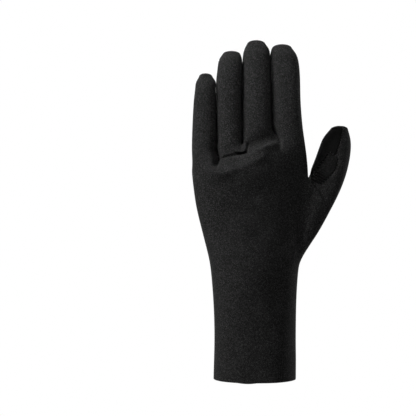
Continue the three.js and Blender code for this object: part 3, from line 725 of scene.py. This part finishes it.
def inside_panel(cutouts, spots):
    """How far each point is inside a panel's cutouts, with the fingers' lean taken out."""
    x, y, z = spots.T
    x = x - lean(x, y, z)
    best = np.full(x.shape, -np.inf)
    for outline, face, middle in cutouts:
        depth = face * (y - middle.y - middle.rise * (z - middle.z))
        best = np.maximum(best, np.minimum(inside_outline(outline, x, z), depth))
    return best


def cut_along(faces, layer, snap=0.12):
    """Cuts faces along the line where the layer is zero; points close to it move onto it."""
    crossed = [
        edge
        for edge in dict.fromkeys(edge for face in faces for edge in face.edges)
        if edge.verts[0][layer] * edge.verts[1][layer] < 0
    ]
    for edge in crossed:
        start, end = edge.verts
        for near, far in ((start, end), (end, start)):
            if near[layer] * far[layer] < 0:
                share = near[layer] / (near[layer] - far[layer])
                if share < snap:
                    near.co = near.co.lerp(far.co, share)
                    near[layer] = 0
    for edge in crossed:
        near, far = edge.verts
        if near[layer] * far[layer] < 0:
            share = near[layer] / (near[layer] - far[layer])
            bmesh.utils.edge_split(edge, near, share)[1][layer] = 0

    waiting = list(faces)
    while waiting:
        face = waiting.pop()
        ring = [loop.vert for loop in face.loops]
        sides = [point[layer] for point in ring]
        if min(sides) >= 0 or max(sides) <= 0:
            continue
        count = len(ring)
        for start in range(count):
            end = (start + 1) % count
            if sides[start] == 0 and sides[end] > 0:
                while sides[end] > 0:
                    end = (end + 1) % count
                if sides[end] == 0 and end != start:
                    half = bmesh.utils.face_split(face, ring[start], ring[end])[0]
                    waiting += [face, half]
                break


net = bmesh.new()
net.from_mesh(skin.data)
inside = net.verts.layers.float.new("inside")
panel = net.faces.layers.int.new("panel")
uncut = PANELS.index("back_panel")
for face in net.faces:
    face[panel] = uncut
for name, cutouts in CUTOUTS.items():
    spots = np.array([point.co for point in net.verts]) / MM
    for point, value in zip(net.verts, inside_panel(cutouts, spots)):
        point[inside] = value
    rest = [face for face in net.faces if face[panel] == uncut]
    cut_along([face for face in rest if max(point[inside] for point in face.verts) > 0], inside)
    for face in net.faces:
        if face[panel] == uncut and sum(point[inside] for point in face.verts) > 0:
            face[panel] = PANELS.index(name)

# The seams.
# Two panels are glued edge to edge and blind-stitched, which draws the joint down into a narrow
# groove with rounded lips. The skin gets finer rows of points along every joint to hold it.
GROOVE_ROWS = (0.4, 0.85, 1.5, 2.6)  # distances from the joint
ROW_SNAP = 0.2
LIP = {"depth": 0.62, "width": 1.05}
DRAW = {"depth": 0.3, "width": 4.2}
SAMPLE = 0.25
SHORTEST = 0.06  # edges shorter than that are left out
# The share of that depth where two fingers press the joint flat, at the tight spots, under the
# ring finger, where the seam is drawn in most, and towards the thumb's tip.
BETWEEN_FINGERS = {"share": 0.3, "x": (-45, 30), "from_slope": 0.4, "over": 0.4}
AT_TIGHT_SPOTS = 0.4
AT_KNUCKLES = {"share": 1.3, "box": {"x": (-31, -5), "y": (-40, -6), "z": (187, 201)}}
AT_THUMB_TIP = {"share": 0.2, "from_z": 212, "over": 8}


def joints():
    return [edge for edge in net.edges if len({face[panel] for face in edge.link_faces}) > 1]


samples = []
for edge in joints():
    start, end = edge.verts[0].co, edge.verts[1].co
    steps = math.ceil((end - start).length / (SAMPLE * MM))
    samples += [start.lerp(end, i / steps) for i in range(steps + 1)]
joint_tree = KDTree(len(samples))
for i, place in enumerate(samples):
    joint_tree.insert(place, i)
joint_tree.balance()
away = net.verts.layers.float.new("away")
for point in net.verts:
    point[away] = joint_tree.find(point.co)[2] / MM
for edge in joints():
    for point in edge.verts:
        point[away] = 0
for row in GROOVE_ROWS:
    for point in net.verts:
        point[inside] = point[away] - row
    near = [face for face in net.faces if min(point[inside] for point in face.verts) < 0]
    cut_along(near, inside, ROW_SNAP)
    for point in net.verts:
        if point[inside] == 0:
            point[away] = row

bmesh.ops.dissolve_degenerate(net, dist=SHORTEST * MM, edges=net.edges)

# The lines of the joints, as chains of points, for the stitches to follow.
net.normal_update()
left_to_walk = set(joints())
at_point = {}
for edge in joints():
    for point in edge.verts:
        at_point.setdefault(point, []).append(edge)
seam_lines = []
starts = [point for point, edges in at_point.items() if len(edges) != 2] + list(at_point)
for start in starts:
    for edge in at_point[start]:
        if edge not in left_to_walk:
            continue
        line = [start]
        while edge in left_to_walk:
            left_to_walk.remove(edge)
            line.append(edge.other_vert(line[-1]))
            onward = [other for other in at_point[line[-1]] if other in left_to_walk]
            if len(at_point[line[-1]]) == 2 and onward:
                edge = onward[0]
        seam_lines.append([(point.co.copy(), point.normal.copy()) for point in line])

for point in net.verts:
    gap = point[away]
    depth = LIP["depth"] * max(0, 1 - gap / LIP["width"]) ** 2
    depth += DRAW["depth"] * max(0, 1 - gap / DRAW["width"]) ** 2
    place = point.co / MM
    if BETWEEN_FINGERS["x"][0] < place.x < BETWEEN_FINGERS["x"][1]:
        steep = (abs(point.normal.x) - BETWEEN_FINGERS["from_slope"]) / BETWEEN_FINGERS["over"]
        depth *= lerp(1, BETWEEN_FINGERS["share"], min(1, max(0, steep)))
    if in_box(AT_KNUCKLES["box"], place):
        depth *= AT_KNUCKLES["share"]
    past = place.z - AT_THUMB_TIP["from_z"]
    if place.x > WEB_X and past > 0:
        depth *= max(AT_THUMB_TIP["share"], 1 - past / AT_THUMB_TIP["over"])
    if any(in_box(box, place) for box in TIGHT_SPOTS):
        depth *= AT_TIGHT_SPOTS
    point.co -= point.normal * depth * MM
net.to_mesh(skin.data)
net.free()

# Cloth for the panels.
# Both are knitted nylon jersey laminated to black foam: the backs have a heathered charcoal
# jersey with pale flecks, the palm and the small parts a smooth black one.
class Wire:
    """What runs between two of a material's nodes. Sums and products of wires add Math nodes."""

    def __init__(self, tree, socket=None):
        self.tree = tree
        self.socket = socket

    def node(self, kind, settings, sockets, output=0):
        """Adds any other node: its settings first, then what its sockets are given."""
        made = self.tree.nodes.new(kind)
        for name, value in settings.items():
            if name == "stops":
                ramp = made.color_ramp
                while len(ramp.elements) < len(value):
                    ramp.elements.new(1)
                for element, (position, grey) in zip(ramp.elements, value):
                    element.position = position
                    element.color = (grey, grey, grey, 1)
            else:
                setattr(made, name, value)
        for name, value in sockets.items():
            if isinstance(value, Wire):
                self.tree.links.new(value.socket, made.inputs[name])
            else:
                made.inputs[name].default_value = value
        return Wire(self.tree, made.outputs[output] if made.outputs else None)

    def math(self, operation, first, second):
        return self.node("ShaderNodeMath", {"operation": operation}, {0: first, 1: second})

    def __add__(self, other):
        return self.math("ADD", self, other)

    __radd__ = __add__

    def __sub__(self, other):
        return self.math("SUBTRACT", self, other)

    def __rsub__(self, other):
        return self.math("SUBTRACT", other, self)

    def __mul__(self, other):
        return self.math("MULTIPLY", self, other)

    __rmul__ = __mul__


def new_cloth(name):
    cloth = bpy.data.materials.new(name)
    cloth.use_nodes = True
    cloth.node_tree.nodes.clear()
    start = Wire(cloth.node_tree)
    place = start.node("ShaderNodeTexCoord", {}, {}, "Object")
    return cloth, start, place


def finish_cloth(start, colour, roughness, relief, relief_depth, gloss, sheen, sheen_roughness):
    bump = start.node(
        "ShaderNodeBump", {}, {"Height": relief, "Distance": relief_depth * MM, "Strength": 1.0}
    )
    shader = start.node(
        "ShaderNodeBsdfPrincipled",
        {},
        {
            "Base Color": colour,
            "Roughness": roughness,
            "Specular IOR Level": gloss,
            "Sheen Weight": sheen,
            "Sheen Roughness": sheen_roughness,
            "Sheen Tint": (1, 1, 1, 1),
            "Normal": bump,
        },
    )
    start.node("ShaderNodeOutputMaterial", {}, {"Surface": shader})


def noise_at(start, place, size, detail=2.0, stretch=(1, 1, 1), turn=(0, 0, 0)):
    """Noise with features of about that size in millimetres, stretched along its own axes."""
    spread = start.node(
        "ShaderNodeMapping",
        {"vector_type": "TEXTURE"},
        {"Vector": place, "Scale": [size * MM * share for share in stretch], "Rotation": turn},
    )
    return start.node(
        "ShaderNodeTexNoise",
        {"noise_dimensions": "3D"},
        {"Vector": spread, "Scale": 0.5, "Detail": detail, "Roughness": 0.5},
        "Fac",
    )


def grey_ramp(start, value, stops):
    return start.node("ShaderNodeValToRGB", {"stops": stops}, {"Fac": value}, "Color")


LOOP = 0.4 * MM  # each loop of the heathered yarn has its own shade
LOOP_SHAPE = (LOOP, LOOP, 1.4 * LOOP)

heather, start, place = new_cloth("heather_jersey")
loops = start.node(
    "ShaderNodeMapping", {"vector_type": "TEXTURE"}, {"Vector": place, "Scale": LOOP_SHAPE}
)
shades = start.node(
    "ShaderNodeTexVoronoi", {"feature": "F1"}, {"Vector": loops, "Scale": 1.0}, "Color"
)
flecks = start.node("ShaderNodeSeparateColor", {}, {"Color": shades}, "Red")
grain = noise_at(start, place, 0.24, detail=1.0, stretch=(1, 1, 2.0), turn=(0, -0.6, 0))
mottle = noise_at(start, place, 4.5, detail=3)
blotch = noise_at(start, place, 22, detail=2)
pattern = 0.72 * flecks + 0.26 * grain + 0.06 * mottle + 0.08 * blotch
HEATHER_SHADES = ((0.22, 0.007), (0.45, 0.0135), (0.68, 0.0221), (0.82, 0.035), (0.92, 0.056))
colour = grey_ramp(start, pattern, HEATHER_SHADES)
finish_cloth(start, colour, 0.9, 0.3 * flecks + grain + 0.3 * mottle, 0.08, 0.1, 0.02, 0.5)

smooth_jersey, start, place = new_cloth("smooth_jersey")
wale = noise_at(start, place, 0.35, detail=1.0, stretch=(1, 1, 2.2))
mottle = noise_at(start, place, 6, detail=3)
pattern = 0.6 * wale + 0.4 * mottle
colour = grey_ramp(start, pattern, ((0.35, 0.0045), (0.55, 0.0075), (0.75, 0.0125)))
finish_cloth(start, colour, 0.7, wale + 0.2 * mottle, 0.08, 0.07, 0.01, 0.4)

# The gusset's jersey is the same black one knitted more coarsely; its shades are darkened further
# by painted shade, standing in for the hand's shadow over the thumb.
RIB_PITCH = 2.5 * MM
RIB_HEADING = {"x": 0.42, "z": 0.91}
RIBS_FADE = {"From Min": 236 * MM, "From Max": 244 * MM}  # measured as x + z
coarse_jersey_painted_shade, start, place = new_cloth("coarse_jersey_painted_shade")
loops = noise_at(start, place, 0.5, detail=1.0, stretch=(1, 1, 1.6), turn=(0, 0.7, 0))
mottle = noise_at(start, place, 5, detail=3)
# Elastic draws its lower end up into a few short ribs.
across = start.node("ShaderNodeSeparateXYZ", {}, {"Vector": place}, "X")
up = start.node("ShaderNodeSeparateXYZ", {}, {"Vector": place}, "Z")
turns = (RIB_HEADING["x"] * across + RIB_HEADING["z"] * up) * (2 * math.pi / RIB_PITCH)
ribs = start.node("ShaderNodeMath", {"operation": "SINE"}, {0: turns})
gathered = start.node(
    "ShaderNodeMapRange",
    {"interpolation_type": "SMOOTHSTEP"},
    {"Value": across + up, **RIBS_FADE, "To Min": 1.0, "To Max": 0.0},
)
# The ribs also go into the colour, lighter on their crests and darker in their hollows: a painted
# highlight and painted shade on top of their relief.
pattern = 0.7 * loops + 0.3 * mottle + 0.12 * ribs * gathered
# Painted shadow: this ramp is darker than the coarse jersey's own tone, for the hand's shadow
# falling over the thumb.
colour = grey_ramp(start, pattern, ((0.38, 0.0048), (0.52, 0.0096), (0.66, 0.0185), (0.75, 0.035)))
relief = loops + 0.3 * mottle + 2.0 * ribs * gathered
finish_cloth(start, colour, 0.8, relief, 0.16, 0.1, 0.02, 0.4)

foam, start, place = new_cloth("foam_core")
pores = noise_at(start, place, 0.3, detail=2.0)
colour = grey_ramp(start, pores, ((0.4, 0.005), (0.7, 0.014)))
finish_cloth(start, colour, 0.9, pores, 0.1, 0.1, 0.0, 0.5)

lining, start, place = new_cloth("lining")
wale = noise_at(start, place, 0.4, detail=1.0, stretch=(1, 1, 2.0))
colour = grey_ramp(start, wale, ((0.35, 0.007), (0.7, 0.016)))
finish_cloth(start, colour, 0.9, wale, 0.1, 0.1, 0.02, 0.5)

# The eight panels themselves.
# Each is cut from 2 mm foam sheet with jersey on both faces, so the raw foam shows at the hem.
# Along a seam two panels are butted edge to edge, down in the groove.
WALL = 2.0
SHARP_EDGE = 60  # degrees, as at the cut edge
HEATHER_PANELS = ("back_panel", "two_finger_back")

bpy.ops.object.select_all(action="DESELECT")
bpy.context.view_layer.objects.active = skin
skin.select_set(True)
shells = {}
for i, name in enumerate(PANELS[:-1]):
    bpy.ops.object.mode_set(mode="EDIT")
    bpy.ops.mesh.select_mode(type="FACE")
    bpy.ops.mesh.select_all(action="DESELECT")
    net = bmesh.from_edit_mesh(skin.data)
    panel = net.faces.layers.int["panel"]
    for face in net.faces:
        face.select_set(face[panel] == i)
    bpy.ops.mesh.separate(type="SELECTED")
    bpy.ops.object.mode_set(mode="OBJECT")
    cut_out = next(piece for piece in bpy.context.selected_objects if piece != skin)
    cut_out.select_set(False)
    shells[name] = cut_out
shells["back_panel"] = skin

for name, shell in shells.items():
    shell.name = name + "_shell"
    shell.data.materials.clear()
    face_cloth = heather if name in HEATHER_PANELS else smooth_jersey
    if name == "thumb_gusset":
        face_cloth = coarse_jersey_painted_shade
    for cloth in (face_cloth, foam, lining):
        shell.data.materials.append(cloth)
    bpy.ops.object.select_all(action="DESELECT")
    shell.select_set(True)
    bpy.context.view_layer.objects.active = shell
    thickness = shell.modifiers.new("thickness", "SOLIDIFY")
    thickness.thickness = WALL * MM
    thickness.offset = -1
    thickness.use_quality_normals = True
    thickness.material_offset = 2
    thickness.material_offset_rim = 1
    bpy.ops.object.modifier_apply(modifier="thickness")
    bpy.ops.object.shade_smooth_by_angle(angle=math.radians(SHARP_EDGE))
    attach(shell, "root")
    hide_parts(name)
    "heather_jersey" if name in HEATHER_PANELS else "smooth_jersey"

# The stitches.
# A blind stitch of fine nylon thread crosses the joint every few millimetres; each is one short
# bent length of thread that dips into the jersey at both ends.
STITCH_PITCH = 2.7
STITCH_LENGTH = 1.75
THREAD_RADIUS = 0.19
STITCH_SLANT = 0.45
STITCH_SINK = 0.12
STITCH_BENDS = (-0.32, -0.12, 0.12, 0.32)  # shares of its length
STITCH_DIP = 0.55  # at both ends
STITCH_TAPER = 0.4
CLOSEST_STITCHES = 1.6
STITCHED_UP_TO = 216  # the thread ends short of the thumb's tip

thread, start, place = new_cloth("thread")
twist = noise_at(start, place, 0.3, detail=1.0)
colour = grey_ramp(start, twist, ((0.35, 0.012), (0.7, 0.035)))
finish_cloth(start, colour, 0.6, twist, 0.05, 0.3, 0.1, 0.4)

bpy.ops.object.select_all(action="DESELECT")
bpy.ops.mesh.primitive_cylinder_add(
    vertices=6, radius=THREAD_RADIUS * MM, depth=STITCH_LENGTH * MM, rotation=(0, math.pi / 2, 0)
)
stitch = bpy.context.object
bpy.ops.object.transform_apply(rotation=True)
bpy.ops.object.mode_set(mode="EDIT")
for share in STITCH_BENDS:
    bpy.ops.mesh.select_all(action="SELECT")
    bpy.ops.mesh.bisect(plane_co=(share * STITCH_LENGTH * MM, 0, 0), plane_no=(1, 0, 0))
bpy.ops.object.mode_set(mode="OBJECT")
for point in stitch.data.vertices:
    share = abs(point.co.x) / (STITCH_LENGTH * MM / 2)
    point.co.z -= STITCH_DIP * MM * share**2.5
    point.co.y *= 1 - STITCH_TAPER * share**3
stitch.data.materials.append(thread)
bpy.ops.object.shade_smooth()

copies = []


def lay_stitch(spot, across, beside, up, size=1):
    copy = stitch.copy()
    copy.data = stitch.data.copy()
    for point in copy.data.vertices:
        x, y, z = point.co * size
        point.co = spot + across * x + beside * y + up * z
    bpy.context.scene.collection.objects.link(copy)
    copies.append(copy)


laid = []
for line in seam_lines:
    length = sum((b[0] - a[0]).length for a, b in zip(line, line[1:])) / MM
    count = int(length / STITCH_PITCH)
    if count < 2:
        continue
    wanted = [(i + 0.5) * length / count for i in range(count)]
    walked = 0
    for (here, here_up), (there, there_up) in zip(line, line[1:]):
        span = (there - here).length / MM
        while wanted and wanted[0] <= walked + span:
            share = (wanted.pop(0) - walked) / span
            if here.z > STITCHED_UP_TO * MM and here.x > WEB_X * MM:
                continue
            up = here_up.lerp(there_up, share).normalized()
            along = (there - here).normalized()
            across = along.cross(up).normalized() + along * STITCH_SLANT
            across.normalize()
            beside = up.cross(across).normalized()
            spot = here.lerp(there, share) - up * STITCH_SINK * MM
            if all((spot - other).length > CLOSEST_STITCHES * MM for other in laid):
                laid.append(spot)
                lay_stitch(spot, across, beside, up)
        walked += span

# A bar tack of dense upright stitches locks the thumb-side cuff seam just above the hem.
BAR_TACK = {"x": 27, "from_y": 60, "z": 5.5, "width": 9, "count": 19, "size": 1.7, "zigzag": 0.15}
depsgraph = bpy.context.evaluated_depsgraph_get()
for i in range(BAR_TACK["count"]):
    share = i / (BAR_TACK["count"] - 1) - 0.5
    x = BAR_TACK["x"] + share * BAR_TACK["width"]
    start = Vector((x, BAR_TACK["from_y"], BAR_TACK["z"])) * MM
    hit, spot, up, *_ = bpy.context.scene.ray_cast(depsgraph, start, Vector((0, -1, 0)))
    if hit:
        across = (Vector((BAR_TACK["zigzag"] * (-1) ** i, 0, 1)) - up * up.z).normalized()
        lay_stitch(spot, across, up.cross(across).normalized(), up, BAR_TACK["size"])
bpy.data.objects.remove(stitch)
bpy.ops.object.select_all(action="DESELECT")
for copy in copies:
    copy.select_set(True)
bpy.context.view_layer.objects.active = copies[0]
bpy.ops.object.join()
stitches = bpy.context.object
stitches.name = "seam_stitches"
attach(stitches, "root")

# The studio.
# A pale floor lies well below the glove. A soft light comes from the upper front left, a weak
# narrow one on the fingers, one from behind on the right, and a white wall closes the room.
FRAME_WIDTH = 0.364  # what the picture takes in across, at the glove's middle
CAMERA_PLACE = Vector((-0.041, -1.0, 0.149))
SENSOR = 36.0
FLOOR = {"size": 0.9, "location": (0, 0, -0.2)}
FLOOR_PAINT = (0.8, 0.8, 0.8, 1)

bpy.ops.object.select_all(action="DESELECT")
bpy.ops.mesh.primitive_plane_add(**FLOOR)
floor = bpy.context.object
floor.name = "floor"
paint = bpy.data.materials.new("floor_paint")
paint.use_nodes = True
paint.node_tree.nodes["Principled BSDF"].inputs["Base Color"].default_value = FLOOR_PAINT
floor.data.materials.append(paint)


def add_light(name, place, target, size, power, spread=180):
    light = bpy.data.lights.new(name, "AREA")
    light.spread = math.radians(spread)
    light.shape = "DISK"
    light.size = size
    light.energy = power
    lamp = bpy.data.objects.new(name, light)
    lamp.location = place
    lamp.rotation_euler = (Vector(target) - Vector(place)).to_track_quat("-Z", "Y").to_euler()
    bpy.context.scene.collection.objects.link(lamp)


add_light("key", (-1.08, -0.48, 1.08), (0, 0, 0.15), size=0.3, power=20)
add_light("finger_light", (-0.2, -0.66, 0.9), (-0.01, 0, 0.29), size=0.12, power=0.08, spread=24)
add_light("rim", (0.85, 0.45, 0.35), (0.03, 0, 0.15), size=0.35, power=3)

camera = bpy.data.cameras.new("camera")
camera.sensor_width = SENSOR
camera.lens = SENSOR * -CAMERA_PLACE.y / FRAME_WIDTH
eye = bpy.data.objects.new("camera", camera)
eye.location = CAMERA_PLACE
eye.rotation_euler = (math.pi / 2, 0, 0)
bpy.context.scene.collection.objects.link(eye)
bpy.context.scene.camera = eye

# The room is white behind the glove and dim in front of it.
ROOM = {"From Min": 0.0, "From Max": 0.9, "To Min": 0.045, "To Max": 0.6}
world = bpy.data.worlds.new("studio")
bpy.context.scene.world = world
world.use_nodes = True
world.node_tree.nodes.clear()
room = Wire(world.node_tree)
heading = room.node("ShaderNodeTexCoord", {}, {}, "Generated")
behind = room.node("ShaderNodeSeparateXYZ", {}, {"Vector": heading}, "Y")
backdrop = room.node(
    "ShaderNodeMapRange",
    {"interpolation_type": "SMOOTHSTEP"},
    {"Value": behind, **ROOM},
)
seen = room.node("ShaderNodeLightPath", {}, {}, "Is Camera Ray")
strength = seen + (1 - seen) * backdrop
white = room.node("ShaderNodeBackground", {}, {"Color": (1, 1, 1, 1), "Strength": strength})
room.node("ShaderNodeOutputWorld", {}, {"Surface": white})
bpy.context.scene.view_settings.view_transform = "Standard"
